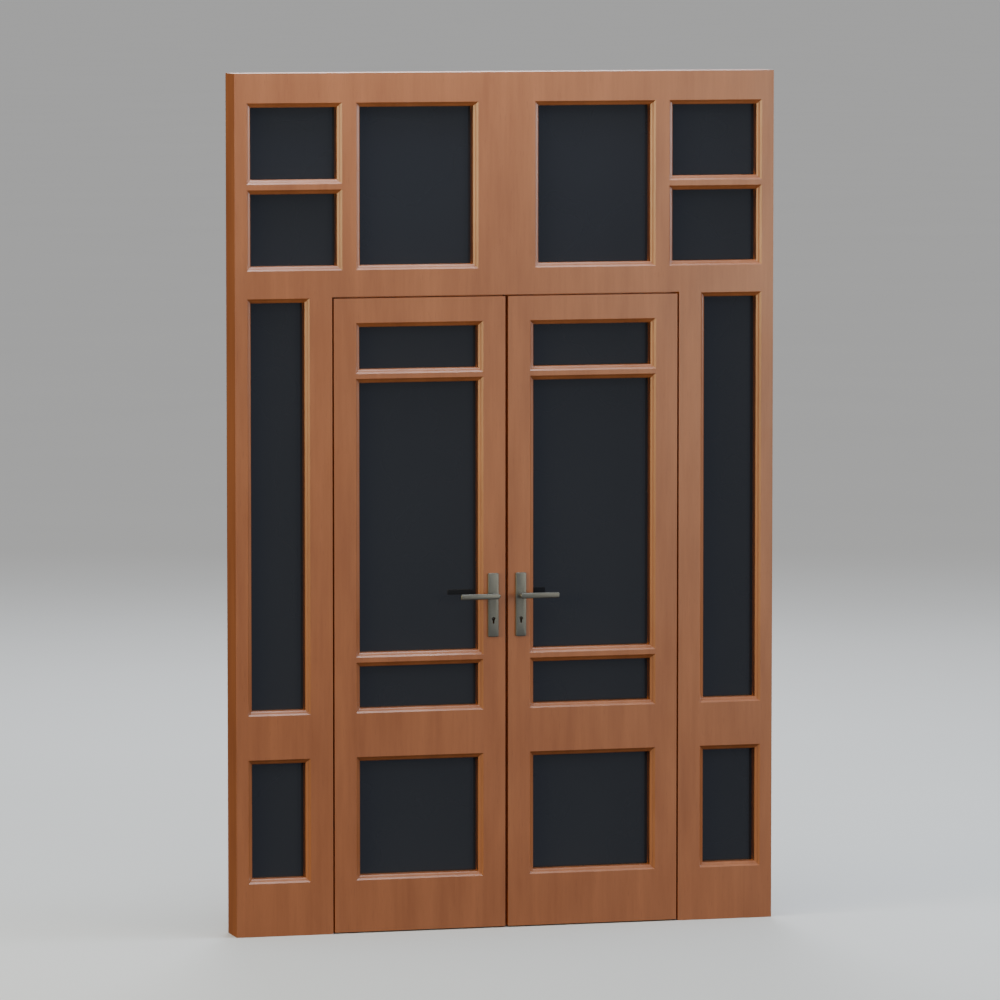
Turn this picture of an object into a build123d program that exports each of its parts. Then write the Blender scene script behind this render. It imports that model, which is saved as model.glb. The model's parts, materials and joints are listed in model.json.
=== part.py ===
from build123d import *
import os

os.makedirs("parts", exist_ok=True)

# Timber double door with side lights and a row of transom lights above it.
# X runs along the wall from the left jamb's wall face, Y from the front (room)
# face to the back, zero at the middle of the jambs, and Z up from the floor.

# Frame
frame_depth = 120.0
jamb_face = 39.0
mullion_face = 72.0
head_face = 92.0
transom_rail_face = 83.0
side_light_width = 200.0
side_light_drop = 3.0
transom_light_height = 522.0
transom_bar_face = 17.0
transom_outer_light_width = 305.0
transom_post_face = 45.0
transom_centre_post_face = 184.0

# Doorway, measured between the lips that the leaves close against
doorway_width = 1128.0
doorway_height = 2003.0
lip_depth = 33.0
lip_overlap = 12.0

# Rails that leaves and side lights share, above the floor
bottom_rail_top = 167.0
middle_rail_bottom = 557.0
middle_rail_face = 138.0

# Leaves, as thick as the rails, posts and bars of the fixed lights
timber_thickness = 68.0
leaf_gap = 5.5
floor_gap = 4.0
stop_gap = 5.0
meeting_gap_front = 9.0
meeting_gap_back = 5.4
hinge_stile_face = 70.5
meeting_stile_face = 71.5
leaf_top_rail_face = 76.5
leaf_small_pane_height = 160.0
leaf_bar_face = 15.0

# Moulding round every pane: a bevel, a small quirk, then a slope with a slight crown
moulding = 14.0
moulding_bevel = 5.5
moulding_quirk = 1.5
moulding_crown = 0.8

# Glazing
glass_setback = 43.0
glass_thickness = 6.0
glass_edge_gap = 3.0
rebate_width = 12.0
bead_bevel = 7.0

# Butt hinges
hinge_above_floor = 230.0
hinge_below_leaf_top = 227.5
hinge_height = 100.0
hinge_plate_thickness = 2.5
hinge_plate_width = 19.0
knuckle_radius = 6.5
knuckle_wall_gap = 0.5
knuckle_gap = 0.3
pin_radius = 3.5
pin_clearance = 0.05

# Lever handles and mortice locks
lever_level = 1056.0
key_drop = 74.0
backset = 40.5
plate_width = 34.0
plate_height = 201.0
plate_above_lever = 70.0
plate_thickness = 8.0
plate_edge = 1.5
lever_reach = 115.0
lever_heel = 12.5
lever_height = 17.0
lever_thickness = 12.0
lever_projection = 48.0
lever_tip_round = 4.0
lever_edge = 2.0
neck_radius = 8.0
neck_clearance = 0.05
neck_end_gap = 1.0
spindle_size = 8.0
spindle_socket = 22.0
spindle_mortice = 20.0
follower_radius = 6.2
key_round = 5.5
key_slot_width = 5.5
key_slot_drop = 15.0
forend_height = 235.0
forend_width = 20.0
forend_thickness = 3.0
lock_case_height = 165.0
lock_case_depth = 60.0
lock_case_thickness = 15.0

# Places worked out from the sizes above
outer_light_edge = doorway_width / 2 + mullion_face + side_light_width
centre_x = outer_light_edge + jamb_face
middle_rail_top = middle_rail_bottom + middle_rail_face
side_light_top = doorway_height - side_light_drop
transom_light_bottom = doorway_height + transom_rail_face
transom_light_top = transom_light_bottom + transom_light_height
transom_bar_level = (transom_light_bottom + transom_light_top) / 2
frame_height = transom_light_top + head_face
front_y = -frame_depth / 2
back_y = frame_depth / 2
timber_back_y = front_y + timber_thickness
lip_back_y = front_y + lip_depth
shoulder_y = lip_back_y + stop_gap
glass_front_y = front_y + glass_setback
glass_back_y = glass_front_y + glass_thickness
lip_half = doorway_width / 2
recess_half = lip_half + lip_overlap
leaf_half = lip_half - leaf_gap
leaf_wide_half = leaf_half + lip_overlap
leaf_top = doorway_height - leaf_gap
leaf_wide_top = leaf_top + lip_overlap
recess_top = doorway_height + lip_overlap
top_hinge_level = leaf_top - hinge_below_leaf_top
hinge_levels = (hinge_above_floor, (hinge_above_floor + top_hinge_level) / 2, top_hinge_level)
meeting_front = meeting_gap_front / 2
meeting_back = meeting_gap_back / 2
side_light_edge = lip_half + mullion_face
transom_post_outer = outer_light_edge - transom_outer_light_width
transom_post_inner = transom_post_outer - transom_post_face
transom_centre_half = transom_centre_post_face / 2
leaf_pane_outer = leaf_half - hinge_stile_face
leaf_pane_inner = meeting_front + meeting_stile_face
leaf_pane_top = leaf_top - leaf_top_rail_face
upper_bar_bottom = leaf_pane_top - leaf_small_pane_height - leaf_bar_face
lower_bar_bottom = middle_rail_top + leaf_small_pane_height
lever_offset = meeting_front + backset
key_level = lever_level - key_drop
plate_top = lever_level + plate_above_lever
hinge_offset = recess_half - knuckle_wall_gap - knuckle_radius
hinge_y = timber_back_y + knuckle_radius + knuckle_wall_gap
beyond = 5.0

sides = {"left": -1, "right": 1}


def save(name, *solids):
    shape = solids[0] if len(solids) == 1 else Compound(children=list(solids))
    export_step(shape, f"parts/{name}.step")


def at(side, offset):
    return centre_x + side * offset


def block(xs, ys, zs):
    low = [min(pair) for pair in (xs, ys, zs)]
    size = [max(pair) - min(pair) for pair in (xs, ys, zs)]
    return Pos(*low) * Box(*size, align=(Align.MIN, Align.MIN, Align.MIN))


def bar_along_y(x, z, radius, ys):
    rod = Cylinder(radius, abs(ys[1] - ys[0]), align=(Align.CENTER, Align.CENTER, Align.MIN))
    return Pos(x, max(ys), z) * Rot(90, 0, 0) * rod


def bar_along_z(x, y, radius, zs):
    rod = Cylinder(radius, zs[1] - zs[0], align=(Align.CENTER, Align.CENTER, Align.MIN))
    return Pos(x, y, zs[0]) * rod


def crossed(profile, xs, zs, slack):
    # A profile swept round a rectangle with true mitres: what two crossing prisms share
    x_low, x_high = sorted(xs)
    z_low, z_high = sorted(zs)
    flat = Plane.XY.offset(z_low - slack)
    upright = Plane(origin=(x_high + slack, 0, 0), x_dir=(0, 0, 1), z_dir=(-1, 0, 0))
    across = extrude(flat * profile(x_low, x_high), z_high - z_low + 2 * slack, dir=(0, 0, 1))
    along = extrude(upright * profile(z_low, z_high), x_high - x_low + 2 * slack, dir=(-1, 0, 0))
    return across & along


def pane_side(edge, inward):
    # One side of a glazed opening in section: moulding in front, reveal, then the rebate for glass and bead
    def point(inset, depth):
        return (edge + inward * inset, front_y + depth)

    foot = Vector(moulding_bevel, moulding_bevel + moulding_quirk)
    slope = Vector(moulding, moulding) - foot
    crown = foot + slope / 2 + Vector(slope.Y, -slope.X).normalized() * moulding_crown
    bevel = Polyline(point(0, -beyond), point(0, 0), point(moulding_bevel, moulding_bevel), point(foot.X, foot.Y))
    rounded = ThreePointArc(point(foot.X, foot.Y), point(crown.X, crown.Y), point(moulding, moulding))
    rebate = Polyline(
        point(moulding, moulding),
        point(moulding, glass_setback),
        point(moulding - rebate_width, glass_setback),
        point(moulding - rebate_width, frame_depth + beyond),
    )
    return [bevel, rounded, rebate]


def pane_profile(low, high):
    left = pane_side(low, 1)
    right = pane_side(high, -1)
    front = Line(left[0] @ 0, right[0] @ 0)
    back = Line(left[-1] @ 1, right[-1] @ 1)
    return make_face([front, *left, back, *reversed(right)])


def bead_profile(low, high):
    # Opening inside a bead: straight, then bevelled out towards the back
    bevel_y = timber_back_y - bead_bevel
    near, far = low + moulding, high - moulding
    near_back, far_back = near - bead_bevel, far + bead_bevel
    outline = Polyline(
        (near, front_y),
        (far, front_y),
        (far, bevel_y),
        (far_back, timber_back_y),
        (far_back, timber_back_y + beyond),
        (near_back, timber_back_y + beyond),
        (near_back, timber_back_y),
        (near, bevel_y),
        close=True,
    )
    return make_face(outline)


def pane_cut(pane):
    return crossed(pane_profile, *pane, rebate_width)


def pane_glass(pane):
    inset = moulding - rebate_width + glass_edge_gap
    xs, zs = [(min(pair) + inset, max(pair) - inset) for pair in pane]
    return block(xs, (glass_front_y, glass_back_y), zs)


def pane_bead(pane):
    inset = moulding - rebate_width
    xs, zs = [(min(pair) + inset, max(pair) - inset) for pair in pane]
    return block(xs, (glass_back_y, timber_back_y), zs) - crossed(bead_profile, *pane, rebate_width)


def side_panes(side):
    xs = (at(side, side_light_edge), at(side, outer_light_edge))
    return [(xs, (bottom_rail_top, middle_rail_bottom)), (xs, (middle_rail_top, side_light_top))]


def transom_panes(side):
    outer = (at(side, transom_post_outer), at(side, outer_light_edge))
    inner = (at(side, transom_centre_half), at(side, transom_post_inner))
    half_bar = transom_bar_face / 2
    return [
        (outer, (transom_light_bottom, transom_bar_level - half_bar)),
        (outer, (transom_bar_level + half_bar, transom_light_top)),
        (inner, (transom_light_bottom, transom_light_top)),
    ]


def leaf_panes(side):
    xs = (at(side, leaf_pane_inner), at(side, leaf_pane_outer))
    levels = [
        (bottom_rail_top, middle_rail_bottom),
        (middle_rail_top, lower_bar_bottom),
        (lower_bar_bottom + leaf_bar_face, upper_bar_bottom),
        (upper_bar_bottom + leaf_bar_face, leaf_pane_top),
    ]
    return [(xs, zs) for zs in levels]


# Fixed frame: full-depth jambs, mullions, head and transom rail, thinner rails, posts and bars
side_pane_list = [pane for side in sides.values() for pane in side_panes(side)]
transom_pane_list = [pane for side in sides.values() for pane in transom_panes(side)]
frame_cuts = [pane_cut(pane) for pane in side_pane_list + transom_pane_list]
doorway_front = block(
    (at(-1, lip_half), at(1, lip_half)), (front_y - beyond, back_y + beyond), (-beyond, doorway_height)
)
doorway_back = block(
    (at(-1, recess_half), at(1, recess_half)), (lip_back_y, back_y + beyond), (-beyond, recess_top)
)


def frame_member(xs, ys, zs):
    return block(xs, ys, zs) - frame_cuts - doorway_front - doorway_back


full_depth = (front_y, back_y)
thin_depth = (front_y, timber_back_y)
jamb_inner = outer_light_edge - moulding
transom_rail_bottom = side_light_top - moulding
transom_rail_top = transom_light_bottom + moulding
head_bottom = transom_light_top - moulding
between_jambs = (at(-1, jamb_inner), at(1, jamb_inner))

for name, side in sides.items():
    jamb = frame_member((at(side, jamb_inner), at(side, centre_x)), full_depth, (0, frame_height))
    save(f"{name}_jamb", jamb)
    mullion_xs = (at(side, lip_half), at(side, side_light_edge + moulding))
    save(f"{name}_mullion", frame_member(mullion_xs, full_depth, (0, transom_rail_bottom)))

save("head_rail", frame_member(between_jambs, full_depth, (head_bottom, frame_height)))
save("transom_rail", frame_member(between_jambs, full_depth, (transom_rail_bottom, transom_rail_top)))

centre_post_half = transom_centre_half + moulding
centre_post_xs = (at(-1, centre_post_half), at(1, centre_post_half))
above_rail = (transom_rail_top, head_bottom)
save("transom_centre_post", frame_member(centre_post_xs, thin_depth, above_rail))

transom_posts = []
transom_bars = []
side_middle_rails = []
side_bottom_rails = []
for side in sides.values():
    post_xs = (at(side, transom_post_inner - moulding), at(side, transom_post_outer + moulding))
    transom_posts.append(frame_member(post_xs, thin_depth, above_rail))
    bar_xs = (at(side, transom_post_outer + moulding), at(side, jamb_inner))
    bar_half = transom_bar_face / 2 + moulding
    bar_zs = (transom_bar_level - bar_half, transom_bar_level + bar_half)
    transom_bars.append(frame_member(bar_xs, thin_depth, bar_zs))
    rail_xs = (at(side, side_light_edge + moulding), at(side, jamb_inner))
    middle_zs = (middle_rail_bottom - moulding, middle_rail_top + moulding)
    side_middle_rails.append(frame_member(rail_xs, thin_depth, middle_zs))
    side_bottom_rails.append(frame_member(rail_xs, thin_depth, (0, bottom_rail_top + moulding)))

save("transom_posts", *transom_posts)
save("transom_bars", *transom_bars)
save("side_light_middle_rails", *side_middle_rails)
save("side_light_bottom_rails", *side_bottom_rails)
save("transom_glass", *[pane_glass(pane) for pane in transom_pane_list])
save("transom_beads", *[pane_bead(pane) for pane in transom_pane_list])
save("side_light_glass", *[pane_glass(pane) for pane in side_pane_list])
save("side_light_beads", *[pane_bead(pane) for pane in side_pane_list])


# Butt hinges: the pin and outer knuckles on the frame, the middle knuckle on the leaf
def knuckle_spans(level):
    low = level - hinge_height / 2
    third = hinge_height / 3
    return [(low + i * third, low + (i + 1) * third - (knuckle_gap if i < 2 else 0)) for i in range(3)]


def hinge_flap(side, face, direction, level, spans):
    # Plate on a timber edge with a strap and a barrel at each of its knuckles
    plate_xs = (at(side, face), at(side, face + direction * hinge_plate_thickness))
    zs = (level - hinge_height / 2, level + hinge_height / 2)
    flap = block(plate_xs, (timber_back_y - hinge_plate_width, timber_back_y), zs)
    for span in spans:
        flap += block(plate_xs, (timber_back_y, hinge_y), span)
        flap += bar_along_z(at(side, hinge_offset), hinge_y, knuckle_radius, span)
    return flap


def frame_hinge(side, level):
    spans = knuckle_spans(level)
    flap = hinge_flap(side, recess_half, -1, level, [spans[0], spans[2]])
    pin_zs = (level - hinge_height / 2, level + hinge_height / 2)
    return flap + bar_along_z(at(side, hinge_offset), hinge_y, pin_radius, pin_zs)


def leaf_hinge(side, level):
    span = knuckle_spans(level)[1]
    flap = hinge_flap(side, leaf_wide_half, 1, level, [span])
    bore = bar_along_z(at(side, hinge_offset), hinge_y, pin_radius + pin_clearance, span)
    return flap - bore


save("frame_hinges", *[frame_hinge(side, level) for side in sides.values() for level in hinge_levels])


# Door leaves
def leaf_blank(side):
    # Plan with a rebated hinge edge and a bevelled meeting edge, rebated along the top as well
    plan = Polyline(
        (at(side, leaf_half), front_y),
        (at(side, leaf_half), shoulder_y),
        (at(side, leaf_wide_half), shoulder_y),
        (at(side, leaf_wide_half), timber_back_y),
        (at(side, meeting_back), timber_back_y),
        (at(side, meeting_front), front_y),
        close=True,
    )
    slab = extrude(Plane.XY.offset(floor_gap) * make_face(plan), leaf_wide_top - floor_gap, dir=(0, 0, 1))
    top_cut = block(
        (at(side, 0), at(side, recess_half)), (front_y, shoulder_y), (leaf_top, leaf_wide_top + beyond)
    )
    return slab - top_cut


def keyhole(side, ys):
    x = at(side, lever_offset)
    slot_xs = (x - key_slot_width / 2, x + key_slot_width / 2)
    return bar_along_y(x, key_level, key_round, ys) + block(slot_xs, ys, (key_level - key_slot_drop, key_level))


def mortices(side, ys):
    # Square-cut ways for the spindle and the key through the timber, hidden by the plates
    x = at(side, lever_offset)
    half = spindle_mortice / 2
    spindle_way = block((x - half, x + half), ys, (lever_level - half, lever_level + half))
    key_zs = (key_level - key_slot_drop, key_level + key_round)
    return spindle_way + block((x - key_round, x + key_round), ys, key_zs)


def lock_space(side):
    # Forend plate in the meeting edge and the case behind it
    middle_y = front_y + timber_thickness / 2
    middle_z = (lever_level + key_level) / 2
    forend_x = meeting_front + forend_thickness
    forend = block(
        (at(side, 0), at(side, forend_x)),
        (middle_y - forend_width / 2, middle_y + forend_width / 2),
        (middle_z - forend_height / 2, middle_z + forend_height / 2),
    )
    case = block(
        (at(side, 0), at(side, meeting_front + lock_case_depth)),
        (middle_y - lock_case_thickness / 2, middle_y + lock_case_thickness / 2),
        (middle_z - lock_case_height / 2, middle_z + lock_case_height / 2),
    )
    return forend + case


def back_plate(side, ys, outer_edge):
    x = at(side, lever_offset)
    plate = block((x - plate_width / 2, x + plate_width / 2), ys, (plate_top - plate_height, plate_top))
    rim = plate.faces().sort_by(Axis.Y)[outer_edge].outer_wire().edges()
    plate = chamfer(rim, plate_edge)
    plate -= bar_along_y(x, lever_level, neck_radius + neck_clearance, ys)
    return plate - keyhole(side, ys)


def lever(side, face_y, outward):
    # Flat bar with a round heel, carried on a neck that turns in the plate
    x = at(side, lever_offset)
    half = lever_height / 2
    bar_back = face_y + outward * (lever_projection - lever_thickness)
    bar_front = face_y + outward * lever_projection
    heel = Pos(half - lever_heel, 0) * Circle(half)
    length = lever_reach + lever_heel - half
    straight = Pos(half - lever_heel, 0) * Rectangle(length, lever_height, align=(Align.MIN, Align.CENTER))
    outline = heel + straight
    outline = fillet(outline.vertices().sort_by(Axis.X)[-2:], lever_tip_round)
    flat = Plane(origin=(x, min(bar_back, bar_front), lever_level), x_dir=(side, 0, 0), z_dir=(0, 1, 0))
    bar = extrude(flat * outline, lever_thickness, dir=(0, 1, 0))
    front = bar.faces().sort_by(Axis.Y)[0 if outward < 0 else -1]
    bar = chamfer(front.outer_wire().edges(), lever_edge)
    neck = bar_along_y(x, lever_level, neck_radius, (face_y + outward * neck_end_gap, bar_back))
    return bar + neck - spindle_bar(side)


def spindle_bar(side):
    x = at(side, lever_offset)
    half = spindle_size / 2
    reach = neck_end_gap + spindle_socket
    return block(
        (x - half, x + half),
        (front_y - reach, timber_back_y + reach),
        (lever_level - half, lever_level + half),
    )


for name, side in sides.items():
    panes = leaf_panes(side)
    through = (front_y - beyond, timber_back_y + beyond)
    blank = leaf_blank(side)
    lock = blank & lock_space(side)
    lock -= bar_along_y(at(side, lever_offset), lever_level, follower_radius, through)
    lock -= keyhole(side, through)
    carcass = blank - [pane_cut(pane) for pane in panes] - lock_space(side) - mortices(side, through)

    def leaf_member(xs, zs):
        return carcass & block(xs, through, zs)

    near = at(side, leaf_pane_inner + moulding)
    far = at(side, leaf_pane_outer - moulding)
    all_zs = (0, recess_top)
    save(f"{name}_hinge_stile", leaf_member((far, at(side, recess_half)), all_zs))
    save(f"{name}_meeting_stile", leaf_member((at(side, 0), near), all_zs))
    save(f"{name}_top_rail", leaf_member((near, far), (leaf_pane_top - moulding, recess_top)))
    middle_zs = (middle_rail_bottom - moulding, middle_rail_top + moulding)
    save(f"{name}_middle_rail", leaf_member((near, far), middle_zs))
    save(f"{name}_bottom_rail", leaf_member((near, far), (0, bottom_rail_top + moulding)))
    bars = [
        leaf_member((near, far), (low - moulding, low + leaf_bar_face + moulding))
        for low in (lower_bar_bottom, upper_bar_bottom)
    ]
    save(f"{name}_glazing_bars", *bars)
    save(f"{name}_leaf_glass", *[pane_glass(pane) for pane in panes])
    save(f"{name}_leaf_beads", *[pane_bead(pane) for pane in panes])
    save(f"{name}_leaf_hinges", *[leaf_hinge(side, level) for level in hinge_levels])
    save(f"{name}_lock", lock)
    save(f"{name}_front_plate", back_plate(side, (front_y - plate_thickness, front_y), 0))
    save(f"{name}_back_plate", back_plate(side, (timber_back_y, timber_back_y + plate_thickness), -1))
    save(f"{name}_front_lever", lever(side, front_y, -1))
    save(f"{name}_back_lever", lever(side, timber_back_y, 1))
    save(f"{name}_spindle", spindle_bar(side))
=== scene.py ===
import json
import math
import bpy
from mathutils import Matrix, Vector


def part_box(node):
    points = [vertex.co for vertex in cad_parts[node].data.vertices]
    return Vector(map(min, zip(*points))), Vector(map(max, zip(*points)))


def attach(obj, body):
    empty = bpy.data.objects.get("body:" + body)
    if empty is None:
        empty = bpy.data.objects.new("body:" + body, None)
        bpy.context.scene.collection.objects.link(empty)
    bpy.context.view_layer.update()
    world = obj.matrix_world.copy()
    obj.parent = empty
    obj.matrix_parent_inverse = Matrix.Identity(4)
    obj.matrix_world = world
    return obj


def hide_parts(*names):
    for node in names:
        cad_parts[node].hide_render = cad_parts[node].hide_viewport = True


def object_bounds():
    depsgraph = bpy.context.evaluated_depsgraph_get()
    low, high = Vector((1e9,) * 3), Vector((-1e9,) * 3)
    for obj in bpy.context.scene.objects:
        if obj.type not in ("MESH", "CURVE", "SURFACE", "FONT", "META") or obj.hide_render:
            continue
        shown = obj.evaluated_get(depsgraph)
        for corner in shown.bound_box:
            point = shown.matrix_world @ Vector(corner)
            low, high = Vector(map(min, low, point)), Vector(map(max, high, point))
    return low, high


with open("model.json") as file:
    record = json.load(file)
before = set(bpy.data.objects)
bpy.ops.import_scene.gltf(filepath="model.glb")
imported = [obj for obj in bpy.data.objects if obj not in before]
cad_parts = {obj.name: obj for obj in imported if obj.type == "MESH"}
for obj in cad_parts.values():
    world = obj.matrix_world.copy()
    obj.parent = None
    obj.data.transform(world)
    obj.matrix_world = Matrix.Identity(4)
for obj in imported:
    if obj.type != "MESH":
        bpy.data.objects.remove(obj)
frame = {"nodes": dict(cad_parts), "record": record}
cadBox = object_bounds()
nodes = frame["nodes"]
print("frame loaded with", len(nodes), "nodes")

middleX = (cadBox[0].x + cadBox[1].x) / 2
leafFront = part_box("left_bottom_rail")[0].y
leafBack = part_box("left_bottom_rail")[1].y
leafMiddleY = (leafFront + leafBack) / 2
alongWall, acrossDepth = 0, 1    # the axes that copies are mirrored along


# small helpers for working in edit mode

def deselectAll():
    if bpy.context.object and bpy.context.object.mode == "EDIT":
        bpy.ops.object.mode_set(mode="OBJECT")
    bpy.ops.object.select_all(action="DESELECT")


def useOnly(piece):
    deselectAll()
    piece.select_set(True)
    bpy.context.view_layer.objects.active = piece


def bakePlace(piece):
    useOnly(piece)
    bpy.ops.object.transform_apply(location=True, rotation=True, scale=True)


def newBlock(name, low, high):
    # a cube stretched between two corners
    deselectAll()
    low, high = Vector(low), Vector(high)
    bpy.ops.mesh.primitive_cube_add(size=1, location=(low + high) / 2)
    piece = bpy.context.object
    piece.name = name
    piece.scale = high - low
    bakePlace(piece)
    return piece


def newRod(name, start, end, radius, sides=32):
    # a cylinder between two points
    deselectAll()
    start, end = Vector(start), Vector(end)
    length = (end - start).length
    bpy.ops.mesh.primitive_cylinder_add(vertices=sides, radius=radius, depth=length)
    piece = bpy.context.object
    piece.name = name
    piece.rotation_euler = (end - start).to_track_quat("Z", "Y").to_euler()
    piece.location = (start + end) / 2
    bakePlace(piece)
    return piece


def pickEdges(piece, wanted):
    # selects the edges whose two end points both pass, and stays in edit mode
    useOnly(piece)
    bpy.ops.object.mode_set(mode="EDIT")
    bpy.ops.mesh.select_mode(type="EDGE")
    bpy.ops.mesh.select_all(action="DESELECT")
    bpy.ops.object.mode_set(mode="OBJECT")
    mesh = piece.data
    for edge in mesh.edges:
        a, b = (mesh.vertices[i].co for i in edge.vertices)
        edge.select = wanted(a, b)
    bpy.ops.object.mode_set(mode="EDIT")


def roundPicked(width, steps):
    # bevels the selected edges and leaves edit mode
    bpy.ops.mesh.bevel(offset=width, segments=steps, affect="EDGES", clamp_overlap=True)
    bpy.ops.object.mode_set(mode="OBJECT")


def near(a, b, slack=1e-5):
    return abs(a - b) < slack


def combine(piece, tool, how):
    # joins or cuts with a second mesh, which is then used up
    useOnly(piece)
    change = piece.modifiers.new("combine", "BOOLEAN")
    change.operation = how
    change.object = tool
    change.solver = "EXACT"
    bpy.ops.object.modifier_apply(modifier=change.name)
    bpy.data.objects.remove(tool)


def joinAll(name, pieces):
    deselectAll()
    for piece in pieces:
        piece.select_set(True)
    bpy.context.view_layer.objects.active = pieces[0]
    if len(pieces) > 1:
        bpy.ops.object.join()
    pieces[0].name = name
    return pieces[0]


def tidyNormals(piece):
    useOnly(piece)
    bpy.ops.object.mode_set(mode="EDIT")
    bpy.ops.mesh.select_all(action="SELECT")
    bpy.ops.mesh.remove_doubles(threshold=1e-6)
    bpy.ops.mesh.normals_make_consistent(inside=False)
    bpy.ops.object.mode_set(mode="OBJECT")


def mirrorCopy(source, name, axis, plane):
    # a copy with its own mesh, turned over at a plane across the axis
    copied = source.copy()
    copied.data = source.data.copy()
    copied.name = name
    bpy.context.scene.collection.objects.link(copied)
    copied.scale[axis] = -1
    copied.location[axis] = 2 * plane
    bakePlace(copied)
    tidyNormals(copied)
    return copied


def allFour(piece, name):
    # a left front piece with its back and right copies, named as the CAD nodes are
    back = mirrorCopy(piece, "leftBack" + name, acrossDepth, leafMiddleY)
    return {
        "left_front": piece,
        "left_back": back,
        "right_front": mirrorCopy(piece, "rightFront" + name, alongWall, middleX),
        "right_back": mirrorCopy(back, "rightBack" + name, alongWall, middleX),
    }


def smoothEdges(piece, degrees=32):
    useOnly(piece)
    bpy.ops.object.shade_smooth_by_angle(angle=math.radians(degrees))


# shader node groups

def newGroup(name, inputs, outputs):
    group = bpy.data.node_groups.new(name, "ShaderNodeTree")
    for label, kind, value in inputs:
        socket = group.interface.new_socket(label, in_out="INPUT", socket_type=kind)
        if value is not None:
            socket.default_value = value
    for label, kind in outputs:
        group.interface.new_socket(label, in_out="OUTPUT", socket_type=kind)
    return group, group.nodes.new("NodeGroupInput"), group.nodes.new("NodeGroupOutput")


def addNode(tree, kind, **settings):
    node = tree.nodes.new(kind)
    for label, value in settings.items():
        setattr(node, label, value)
    return node


def stretchNoise(tree, vector, stretch, scale, detail, roughness):
    # noise drawn out along an axis by a scaled copy of the coordinates
    mapping = addNode(tree, "ShaderNodeMapping")
    mapping.inputs["Scale"].default_value = stretch
    noise = addNode(tree, "ShaderNodeTexNoise")
    noise.inputs["Scale"].default_value = scale
    noise.inputs["Detail"].default_value = detail
    noise.inputs["Roughness"].default_value = roughness
    tree.links.new(vector, mapping.inputs["Vector"])
    tree.links.new(mapping.outputs["Vector"], noise.inputs["Vector"])
    return noise.outputs["Fac"]


def rangeTo(tree, value, fromLow, fromHigh, toLow, toHigh):
    node = addNode(tree, "ShaderNodeMapRange")
    limits = {"From Min": fromLow, "From Max": fromHigh, "To Min": toLow, "To Max": toHigh}
    for label, number in limits.items():
        node.inputs[label].default_value = number
    tree.links.new(value, node.inputs["Value"])
    return node.outputs["Result"]


def calc(tree, operation, first, second):
    node = addNode(tree, "ShaderNodeMath", operation=operation)
    for socket, value in zip(node.inputs, (first, second)):
        if isinstance(value, (int, float)):
            socket.default_value = value
        else:
            tree.links.new(value, socket)
    return node.outputs["Value"]


def blendColours(tree, factor, first, second):
    node = addNode(tree, "ShaderNodeMix", data_type="RGBA")
    tree.links.new(factor, node.inputs["Factor"])
    for socket, value in zip((node.inputs[6], node.inputs[7]), (first, second)):
        if isinstance(value, tuple):
            socket.default_value = value
        else:
            tree.links.new(value, socket)
    return node.outputs[2]


def spreadOut(tree, noise):
    # noise keeps near its middle, so that part is drawn out to the whole range
    return rangeTo(tree, noise, 0.3, 0.7, 0, 1)


# each noise as stretch, scale, detail and roughness
grainShape = {
    "bands": ((1, 1, 0.16), 14, 3, 0.55),
    "streaks": ((1, 1, 0.045), 90, 4, 0.6),
    "pores": ((1, 1, 0.05), 520, 2, 0.5),
    "poreEdge": (0.62, 0.74),
}


def makeGrainGroup():
    # upright timber figure: broad bands, finer streaks and short dark pores
    group, given, result = newGroup(
        "timberGrain",
        [("Vector", "NodeSocketVector", None)],
        [(label, "NodeSocketFloat") for label in ("Bands", "Streaks", "Pores")],
    )
    vector = given.outputs["Vector"]
    bands = stretchNoise(group, vector, *grainShape["bands"])
    streaks = stretchNoise(group, vector, *grainShape["streaks"])
    pores = stretchNoise(group, vector, *grainShape["pores"])
    group.links.new(spreadOut(group, bands), result.inputs["Bands"])
    group.links.new(spreadOut(group, streaks), result.inputs["Streaks"])
    group.links.new(rangeTo(group, pores, *grainShape["poreEdge"], 0, 1), result.inputs["Pores"])
    return group


smudgeShape = ((1, 1, 1), 5, 3, 0.55)


def makeSmudgeGroup():
    # slow uneven sheen, as wiped varnish, metal and glass have
    group, given, result = newGroup(
        "wipedSheen",
        [("Vector", "NodeSocketVector", None),
         ("Low", "NodeSocketFloat", 0.3),
         ("High", "NodeSocketFloat", 0.4)],
        [("Roughness", "NodeSocketFloat")],
    )
    noise = stretchNoise(group, given.outputs["Vector"], *smudgeShape)
    span = calc(group, "SUBTRACT", given.outputs["High"], given.outputs["Low"])
    spread = calc(group, "MULTIPLY", spreadOut(group, noise), span)
    group.links.new(calc(group, "ADD", spread, given.outputs["Low"]), result.inputs["Roughness"])
    return group


grainGroup = makeGrainGroup()
smudgeGroup = makeSmudgeGroup()


def newMaterial(name):
    material = bpy.data.materials.new(name)
    material.use_nodes = True
    tree = material.node_tree
    shader = tree.nodes["Principled BSDF"]
    place = addNode(tree, "ShaderNodeTexCoord").outputs["Object"]
    return material, tree, shader, place


def useGroup(tree, group, place, **values):
    node = addNode(tree, "ShaderNodeGroup", node_tree=group)
    tree.links.new(place, node.inputs["Vector"])
    for label, value in values.items():
        node.inputs[label].default_value = value
    return node.outputs


def addSheen(tree, shader, place, look):
    low, high = look["sheen"]
    sheen = useGroup(tree, smudgeGroup, place, Low=low, High=high)
    tree.links.new(sheen["Roughness"], shader.inputs["Roughness"])


def addBump(tree, shader, height, look):
    bump = addNode(tree, "ShaderNodeBump")
    bump.inputs["Strength"].default_value = look["bump"]
    bump.inputs["Distance"].default_value = look["bumpDepth"]
    tree.links.new(height, bump.inputs["Height"])
    tree.links.new(bump.outputs["Normal"], shader.inputs["Normal"])


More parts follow.
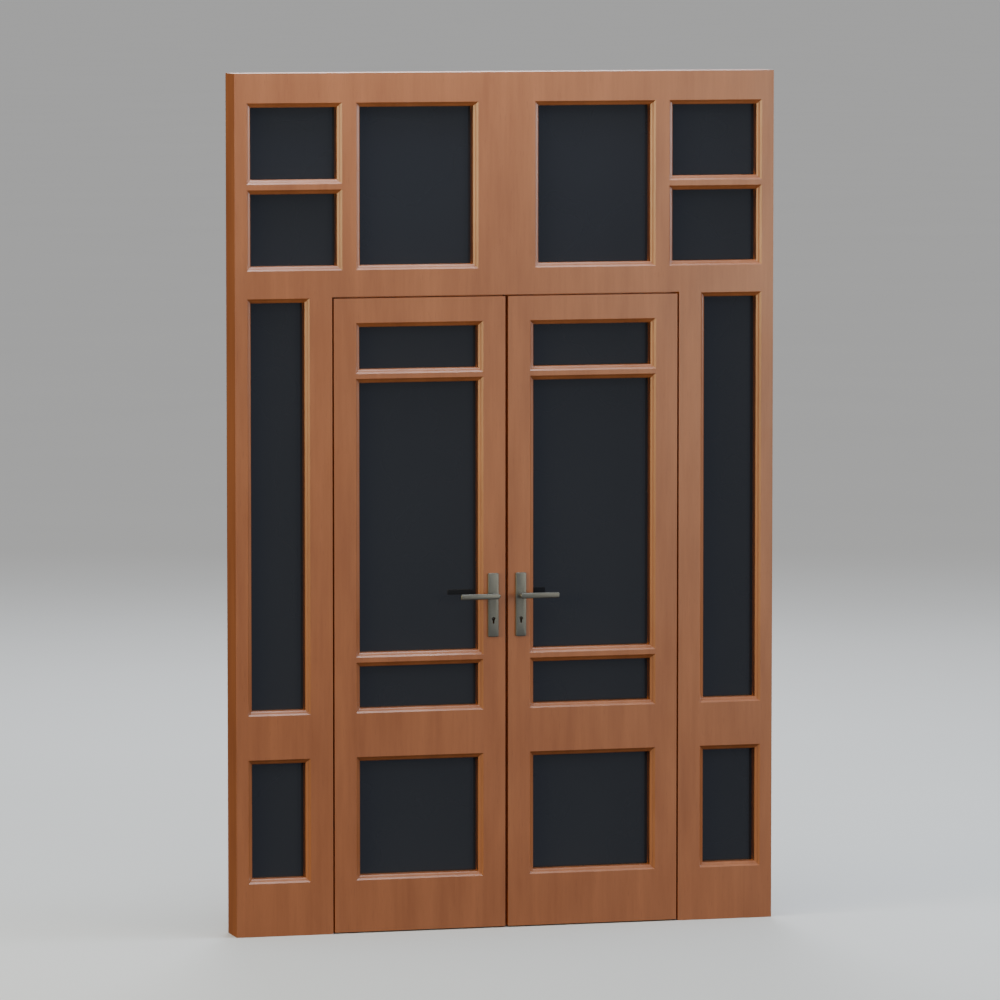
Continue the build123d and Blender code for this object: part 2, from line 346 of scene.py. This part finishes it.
timberFinish = {
    "dark": (0.316, 0.096, 0.0287, 1),
    "pale": (0.442, 0.150, 0.0520, 1),
    "pore": (0.200, 0.055, 0.018, 1),
    "rebate": (0.075, 0.022, 0.010, 1),    # painted shade in the upright rebates
    "paintedGapLight": (0.62, 0.170, 0.030, 1),   # painted bounce light on the wood inside narrow gaps
    "hollowReach": 0.08,
    "hollowSamples": 6,
    "rebateShade": (0.70, 0.86),           # how open a rebate and a gap are, for the painted shade and the painted gap light
    "gapShade": (0.22, 0.34),
    "rebateLevel": 0.12,                   # the painted shade keeps above this and in front of the glass
    "rebateBack": -0.0165,
    "frontFacing": -0.5,                   # front faces and sills get no painted shade
    "sillFacing": 0.5,
    "bandShare": 0.75,
    "streakShare": 0.3,
    "poreShare": 0.35,
    "sheen": (0.31, 0.37),
    "specular": 0.75,
    "bump": 0.04,
    "bumpDepth": 0.001,
}


def makeTimber():
    material, tree, shader, place = newMaterial("varnishedTimber")
    look = timberFinish
    grain = useGroup(tree, grainGroup, place)
    tone = calc(tree, "ADD", calc(tree, "MULTIPLY", grain["Bands"], look["bandShare"]),
                calc(tree, "MULTIPLY", grain["Streaks"], look["streakShare"]))
    wood = blendColours(tree, tone, look["dark"], look["pale"])
    poreShare = calc(tree, "MULTIPLY", grain["Pores"], look["poreShare"])
    wood = blendColours(tree, poreShare, wood, look["pore"])
    # painted shade darkens the upright rebates in front of the panes, and narrow gaps get painted
    # light
    hollow = addNode(tree, "ShaderNodeAmbientOcclusion", samples=look["hollowSamples"])
    hollow.inputs["Distance"].default_value = look["hollowReach"]
    openness = hollow.outputs["AO"]
    spot = addNode(tree, "ShaderNodeSeparateXYZ")
    tree.links.new(place, spot.inputs["Vector"])
    facing = addNode(tree, "ShaderNodeSeparateXYZ")
    normal = addNode(tree, "ShaderNodeTexCoord").outputs["Normal"]
    tree.links.new(normal, facing.inputs["Vector"])
    # painted shade where the occlusion finds a rebate
    paintedShade = rangeTo(tree, openness, *look["rebateShade"], 1, 0)
    for share in (rangeTo(tree, openness, *look["gapShade"], 0, 1),
                  calc(tree, "GREATER_THAN", spot.outputs["Z"], look["rebateLevel"]),
                  calc(tree, "LESS_THAN", spot.outputs["Y"], look["rebateBack"]),
                  calc(tree, "GREATER_THAN", facing.outputs["Y"], look["frontFacing"]),
                  calc(tree, "LESS_THAN", facing.outputs["Z"], look["sillFacing"])):
        paintedShade = calc(tree, "MULTIPLY", paintedShade, share)
    wood = blendColours(tree, paintedShade, wood, look["rebate"])
    # painted light brightens the wood deep in narrow gaps
    gap = rangeTo(tree, openness, *look["gapShade"], 1, 0)
    wood = blendColours(tree, gap, wood, look["paintedGapLight"])
    tree.links.new(wood, shader.inputs["Base Color"])
    addSheen(tree, shader, place, look)
    addBump(tree, shader, calc(tree, "SUBTRACT", grain["Streaks"], grain["Pores"]), look)
    shader.inputs["Specular IOR Level"].default_value = look["specular"]
    return material


glassFinish = {
    "tint": (0.0235, 0.0250, 0.0305, 1),
    "veil": (0.0255, 0.0270, 0.0325, 1),
    "sheen": (0.01, 0.03),
    "cloud": ((1, 1, 1), 3, 2, 0.5),
    "ior": 1.57,
    "clear": 0.12,
}


def makeGlass():
    material, tree, shader, place = newMaterial("tintedGlass")
    look = glassFinish
    cloud = spreadOut(tree, stretchNoise(tree, place, *look["cloud"]))
    tone = blendColours(tree, cloud, look["tint"], look["veil"])
    tree.links.new(tone, shader.inputs["Base Color"])
    addSheen(tree, shader, place, look)
    shader.inputs["Transmission Weight"].default_value = look["clear"]
    shader.inputs["IOR"].default_value = look["ior"]
    return material


steelFinish = {
    "dark": (0.160, 0.157, 0.138, 1),
    "pale": (0.200, 0.197, 0.176, 1),
    "brushed": ((0.05, 1, 1), 1400, 3, 0.6),
    "sheen": (0.36, 0.46),
    "metal": 0.7,
    "bump": 0.03,
    "bumpDepth": 0.0005,
}


def makeSteel():
    # satin metal with fine lines brushed across the piece
    material, tree, shader, place = newMaterial("satinSteel")
    look = steelFinish
    brushed = stretchNoise(tree, place, *look["brushed"])
    tone = blendColours(tree, spreadOut(tree, brushed), look["dark"], look["pale"])
    tree.links.new(tone, shader.inputs["Base Color"])
    addSheen(tree, shader, place, look)
    addBump(tree, shader, brushed, look)
    shader.inputs["Metallic"].default_value = look["metal"]
    return material


floorFinish = {
    "dark": (0.76, 0.76, 0.755, 1),
    "pale": (0.80, 0.80, 0.795, 1),
    "cloud": ((1, 1, 1), 0.6, 4, 0.55),
    "roughness": 0.9,
    "specular": 0.1,
}


def makeFloorPaint():
    material, tree, shader, place = newMaterial("paleFloor")
    look = floorFinish
    cloud = stretchNoise(tree, place, *look["cloud"])
    tone = blendColours(tree, cloud, look["dark"], look["pale"])
    tree.links.new(tone, shader.inputs["Base Color"])
    shader.inputs["Roughness"].default_value = look["roughness"]
    shader.inputs["Specular IOR Level"].default_value = look["specular"]
    return material


finishes = {"timber": makeTimber(), "tinted_glass": makeGlass(), "satin_steel": makeSteel()}
slotOfNode = {part["node"]: part["material_slot"] for part in frame["record"]["subparts"]}
for name, node in nodes.items():
    node.data.materials.clear()
    node.data.materials.append(finishes[slotOfNode[name]])
print("finishes on", len(nodes), "nodes")


def dress(piece, body, slot, replaced=()):
    piece.data.materials.clear()
    piece.data.materials.append(finishes[slot])
    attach(piece, body)
    if replaced:
        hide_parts(*replaced)


# lever handles

leverShape = {
    "barThickness": 0.012,
    "heelRound": 0.98,       # share of half the bar's height
    "tipRound": 0.004,
    "edgeRound": 0.003,
    "neckRadius": 0.008,
    "neckInBar": 0.004,
    "collarRadius": 0.0105,
    "collarHeight": 0.003,
    "collarSunk": 0.001,
    "collarRound": 0.001,
}
leverLow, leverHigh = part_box("left_front_lever")
plateLow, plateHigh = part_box("left_front_plate")
leverAxisX = (plateLow.x + plateHigh.x) / 2
leverAxisZ = (leverLow.z + leverHigh.z) / 2
barBack = leverLow.y + leverShape["barThickness"]


def overHandle(depth, level):
    # a point on the left handle's centre line
    return (leverAxisX, depth, level)


def makeLever():
    shape = leverShape
    bar = newBlock("leftFrontLever", leverLow, (leverHigh.x, barBack, leverHigh.z))
    halfHeight = (leverHigh.z - leverLow.z) / 2
    ends = ((leverHigh.x, halfHeight * shape["heelRound"], 10),
            (leverLow.x, shape["tipRound"], 4))
    for end, width, steps in ends:
        pickEdges(bar, lambda a, b: near(a.x, end) and near(b.x, end) and not near(a.y, b.y))
        roundPicked(width, steps)
    for level in (leverLow.y, barBack):
        pickEdges(bar, lambda a, b: near(a.y, level) and near(b.y, level))
        roundPicked(shape["edgeRound"], 3)
    neck = newRod("neck", overHandle(barBack - shape["neckInBar"], leverAxisZ),
                  overHandle(leverHigh.y, leverAxisZ), shape["neckRadius"])
    combine(bar, neck, "UNION")
    collarFront = plateLow.y - shape["collarHeight"]
    collar = newRod("collar", overHandle(collarFront, leverAxisZ),
                    overHandle(plateLow.y + shape["collarSunk"], leverAxisZ),
                    shape["collarRadius"], sides=40)
    pickEdges(collar, lambda a, b: near(a.y, collarFront) and near(b.y, a.y))
    roundPicked(shape["collarRound"], 2)
    combine(bar, collar, "UNION")
    tidyNormals(bar)
    return bar


for name, lever in allFour(makeLever(), "Lever").items():
    smoothEdges(lever)
    dress(lever, name.split("_")[0] + "_handle", "satin_steel", [name + "_lever"])
print("levers made")


# long plates behind the levers, each with a keyhole

plateShape = {
    "cornerRound": 0.004,
    "edgeRound": 0.0018,
    "neckHole": 0.0086,
    "keyDrop": 0.074,
    "keyRound": 0.0055,
    "keySlot": (0.0055, 0.015),
    "cutOver": 0.004,        # how far cuts pass the plate's faces
}
keyLevel = leverAxisZ - plateShape["keyDrop"]


def makePlate():
    shape = plateShape
    plate = newBlock("leftFrontPlate", plateLow, plateHigh)
    pickEdges(plate, lambda a, b: not near(a.y, b.y))
    roundPicked(shape["cornerRound"], 5)
    pickEdges(plate, lambda a, b: near(a.y, plateLow.y) and near(b.y, plateLow.y))
    roundPicked(shape["edgeRound"], 3)
    before, behind = plateLow.y - shape["cutOver"], plateHigh.y + shape["cutOver"]
    neckWay = newRod("neckWay", overHandle(before, leverAxisZ), overHandle(behind, leverAxisZ),
                     shape["neckHole"], sides=40)
    combine(plate, neckWay, "DIFFERENCE")
    keyWay = newRod("keyWay", overHandle(before, keyLevel), overHandle(behind, keyLevel),
                    shape["keyRound"])
    slotWidth, slotDrop = shape["keySlot"]
    halfSlot = slotWidth / 2
    stem = newBlock("keyStem", (leverAxisX - halfSlot, before, keyLevel - slotDrop),
                    (leverAxisX + halfSlot, behind, keyLevel))
    combine(keyWay, stem, "UNION")
    combine(plate, keyWay, "DIFFERENCE")
    tidyNormals(plate)
    return plate


for name, plate in allFour(makePlate(), "Plate").items():
    smoothEdges(plate)
    dress(plate, name.split("_")[0] + "_leaf", "satin_steel", [name + "_plate"])
print("plates made")


# lock faces on the meeting edges: latch, dead bolt and two slotted screws

lockShape = {
    "latch": (0.010, 0.026),
    "latchOut": 0.0014,
    "bolt": (0.008, 0.022),
    "boltOut": 0.0010,
    "edgeRound": 0.0006,
    "screwRadius": 0.0036,
    "screwInset": 0.011,
    "screwOut": 0.0004,
    "screwRound": 0.6,       # share of what stands out
    "slotWidth": 0.0009,
    "slotDepth": 0.0004,
    "slotHalfLength": 0.005,
    "cutOver": 0.001,
    "sunk": 0.0015,
    "forendInset": 0.0003,
}
lockLow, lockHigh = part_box("left_lock")
forendX = lockHigh.x - lockShape["forendInset"]
forendY = (lockLow.y + lockHigh.y) / 2


def makeBolt(name, size, level, out):
    halfWidth, halfHeight = size[0] / 2, size[1] / 2
    tip = forendX + out
    bolt = newBlock(name, (forendX - lockShape["sunk"], forendY - halfWidth, level - halfHeight),
                    (tip, forendY + halfWidth, level + halfHeight))
    pickEdges(bolt, lambda a, b: near(a.x, tip) and near(b.x, tip))
    roundPicked(lockShape["edgeRound"], 3)
    return bolt


def makeScrew(level):
    shape = lockShape
    top = forendX + shape["screwOut"]
    screw = newRod("forendScrew", (forendX - shape["sunk"], forendY, level), (top, forendY, level),
                   shape["screwRadius"], sides=28)
    pickEdges(screw, lambda a, b: near(a.x, top) and near(b.x, top))
    roundPicked(shape["screwOut"] * shape["screwRound"], 2)
    halfSlot, halfLength = shape["slotWidth"] / 2, shape["slotHalfLength"]
    slot = newBlock("screwSlot",
                    (forendX - shape["slotDepth"], forendY - halfLength, level - halfSlot),
                    (top + shape["cutOver"], forendY + halfLength, level + halfSlot))
    combine(screw, slot, "DIFFERENCE")
    return screw


def makeLockFace():
    shape = lockShape
    parts = [makeBolt("latch", shape["latch"], leverAxisZ, shape["latchOut"]),
             makeBolt("deadBolt", shape["bolt"], keyLevel, shape["boltOut"]),
             makeScrew(lockLow.z + shape["screwInset"]),
             makeScrew(lockHigh.z - shape["screwInset"])]
    face = joinAll("leftLockFace", parts)
    tidyNormals(face)
    return face


# key posts in the keyholes, each on a web inside its lock

postShape = {
    "radius": 0.0016,
    "behindPlate": 0.004,
    "tipRound": 0.0006,
    "webRadius": 0.0075,
    "webThickness": 0.003,
}


def makeKeyPost():
    shape = postShape
    front = plateLow.y + shape["behindPlate"]
    back = 2 * leafMiddleY - plateLow.y - shape["behindPlate"]
    post = newRod("leftKeyPost", overHandle(front, keyLevel), overHandle(back, keyLevel),
                  shape["radius"], sides=24)
    for end in (front, back):
        pickEdges(post, lambda a, b: near(a.y, end) and near(b.y, end))
        roundPicked(shape["tipRound"], 3)
    half = shape["webThickness"] / 2
    web = newRod("keyWeb", overHandle(forendY - half, keyLevel), overHandle(forendY + half, keyLevel),
                 shape["webRadius"])
    combine(post, web, "UNION")
    tidyNormals(post)
    return post


for piece, name in ((makeLockFace(), "rightLockFace"), (makeKeyPost(), "rightKeyPost")):
    other = mirrorCopy(piece, name, alongWall, middleX)
    for fitting, leaf in ((piece, "left_leaf"), (other, "right_leaf")):
        smoothEdges(fitting)
        dress(fitting, leaf, "satin_steel")
print("lock faces and key posts made")


# domed pin heads on the hinges

pinShape = {
    "radius": 0.0058,
    "height": 0.0026,
    "dome": 0.0022,
    "sunk": 0.001,
    "hingeHeight": 0.1,
}


def makePinHeads():
    shape = pinShape
    low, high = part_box("left_leaf_hinges")
    barrelRadius = (high.x - low.x) / 2
    barrel = (high.x - barrelRadius, high.y - barrelRadius)
    halfHinge = shape["hingeHeight"] / 2
    heads = []
    for middle in (low.z + halfHinge, (low.z + high.z) / 2, high.z - halfHinge):
        for way in (-1, 1):
            level = middle + way * halfHinge
            tip = level + way * shape["height"]
            head = newRod("pinHead", (*barrel, level - way * shape["sunk"]), (*barrel, tip),
                          shape["radius"], sides=28)
            pickEdges(head, lambda a, b: near(a.z, tip) and near(b.z, tip))
            roundPicked(shape["dome"], 4)
            heads.append(head)
    joined = joinAll("leftPinHeads", heads)
    tidyNormals(joined)
    return joined


pinHeads = makePinHeads()
for heads in (pinHeads, mirrorCopy(pinHeads, "rightPinHeads", alongWall, middleX)):
    smoothEdges(heads)
    dress(heads, "frame", "satin_steel")
print("hinge pin heads made")


# floor, lamps and camera

stagePlan = {
    "floorSize": 700,
    "floorDrop": 0.0005,
    "zenith": 0.8,                    # sky brightness overhead
    "below": (0.03, 0.035, 0.045, 1),
    "frontGlow": (0.238, 0.270, 0.345, 1),
    "frontReach": (-0.85, -0.15),
    "glowTop": (0.0, 0.08),
    "glowFoot": (-0.5, -0.3),
}
coolWhite = (0.85, 0.92, 1)
softWhite = (1, 0.95, 0.77)
paleBlue = (0.72, 0.86, 1)
warmYellow = (1, 0.87, 0.46)
lamps = {
    "frontRightDisc": {
        "place": (5.6, -7.6, 1.82), "aim": (0.9, 0, 1.35),
        "size": (2.7, 2.7), "power": 148, "colour": softWhite,
    },
    "frontSheenDisc": {
        "place": (2.2, -8.7, 3.3), "aim": (0.9, 0, 1.6),
        "size": (1.8, 1.8), "power": 16, "colour": paleBlue,
    },
    "frontHighDisc": {
        "place": (-0.41, -7.26, 7.56), "aim": (0.9, 0, 1.35),
        "size": (3.6, 3.6), "power": 105, "colour": paleBlue,
    },
    "warmLeftStrip": {
        "place": (-6.43, -3.25, 2.5), "aim": (0.9, 0, 1.6),
        "size": (6.5, 2.4), "power": 355, "colour": warmYellow,
    },
    "rightRimDisc": {
        "place": (7.6, -1.25, 3.1), "aim": (0.9, 0, 1.9),
        "size": (2.8, 2.8), "power": 180, "colour": paleBlue,
    },
    "topLeftDisc": {
        "place": (0.1, -0.25, 3.8), "aim": (0.4, -0.1, 1.5),
        "size": (0.8, 0.8), "power": 25, "colour": paleBlue,
    },
    "topStrip": {
        "place": (0.8, -0.6, 3.3), "aim": (0.8, -0.1, 1.5),
        "size": (1.6, 0.6), "power": 5.6, "colour": coolWhite,
    },
    "topSillStrip": {
        "place": (1.8, -0.42, 5.2), "aim": (1.6, -0.2, 1.5),
        "size": (2.2, 0.8), "power": 42, "colour": coolWhite,
    },
    "backDisc": {
        "place": (2.5, 7.0, 7.0), "aim": (0.9, 0, 1.35),
        "size": (3.6, 3.6), "power": 450, "colour": coolWhite,
    },
}


def addFloor():
    deselectAll()
    level = -stagePlan["floorDrop"]
    bpy.ops.mesh.primitive_plane_add(size=stagePlan["floorSize"], location=(0, 0, level))
    floor = bpy.context.object
    floor.name = "studioFloor"
    floor.data.materials.append(makeFloorPaint())
    floor.visible_diffuse = False      # the floor stays out of the varnish and the glass
    floor.visible_glossy = False


def addLamp(name, plan):
    deselectAll()
    bpy.ops.object.light_add(type="AREA", location=plan["place"])
    lamp = bpy.context.object
    lamp.name = name
    beam = Vector(plan["aim"]) - Vector(plan["place"])
    lamp.rotation_euler = beam.to_track_quat("-Z", "Y").to_euler()
    lamp.data.shape = "ELLIPSE"
    lamp.data.size, lamp.data.size_y = plan["size"]
    lamp.data.energy = plan["power"]
    lamp.data.color = plan["colour"]
    lamp.visible_camera = False
    lamp.visible_transmission = False  # no lamp shows through the panes


def addSky():
    world = bpy.data.worlds.new("studioSky")
    bpy.context.scene.world = world
    world.use_nodes = True
    tree = world.node_tree
    way = addNode(tree, "ShaderNodeSeparateXYZ")
    tree.links.new(addNode(tree, "ShaderNodeTexCoord").outputs["Generated"], way.inputs["Vector"])
    height, depth = way.outputs["Z"], way.outputs["Y"]
    glow = rangeTo(tree, height, 0, 1, 0, stagePlan["zenith"])
    sky = blendColours(tree, calc(tree, "LESS_THAN", height, 0), glow, stagePlan["below"])
    # a soft bright band in front, which the panes mirror
    band = calc(tree, "MULTIPLY", rangeTo(tree, height, *stagePlan["glowTop"], 1, 0),
                rangeTo(tree, height, *stagePlan["glowFoot"], 0, 1))
    band = calc(tree, "MULTIPLY", band, rangeTo(tree, depth, *stagePlan["frontReach"], 1, 0))
    sky = blendColours(tree, band, sky, stagePlan["frontGlow"])
    tree.links.new(sky, tree.nodes["Background"].inputs["Color"])


cameraPlan = {
    "place": (-4.90661, -21.32031, 3.27735),
    "turn": (85.015, 0, -15.158),
    "lens": 253.17,
    "sensor": 36,
    "reach": 1000,
}


def addCamera():
    deselectAll()
    turn = [math.radians(angle) for angle in cameraPlan["turn"]]
    bpy.ops.object.camera_add(location=cameraPlan["place"], rotation=turn)
    camera = bpy.context.object
    camera.name = "photoCamera"
    camera.data.lens = cameraPlan["lens"]
    camera.data.sensor_width = cameraPlan["sensor"]
    camera.data.clip_end = cameraPlan["reach"]
    bpy.context.scene.camera = camera


addFloor()
for name, plan in lamps.items():
    addLamp(name, plan)
addSky()
addCamera()
print("floor, lamps and camera placed")
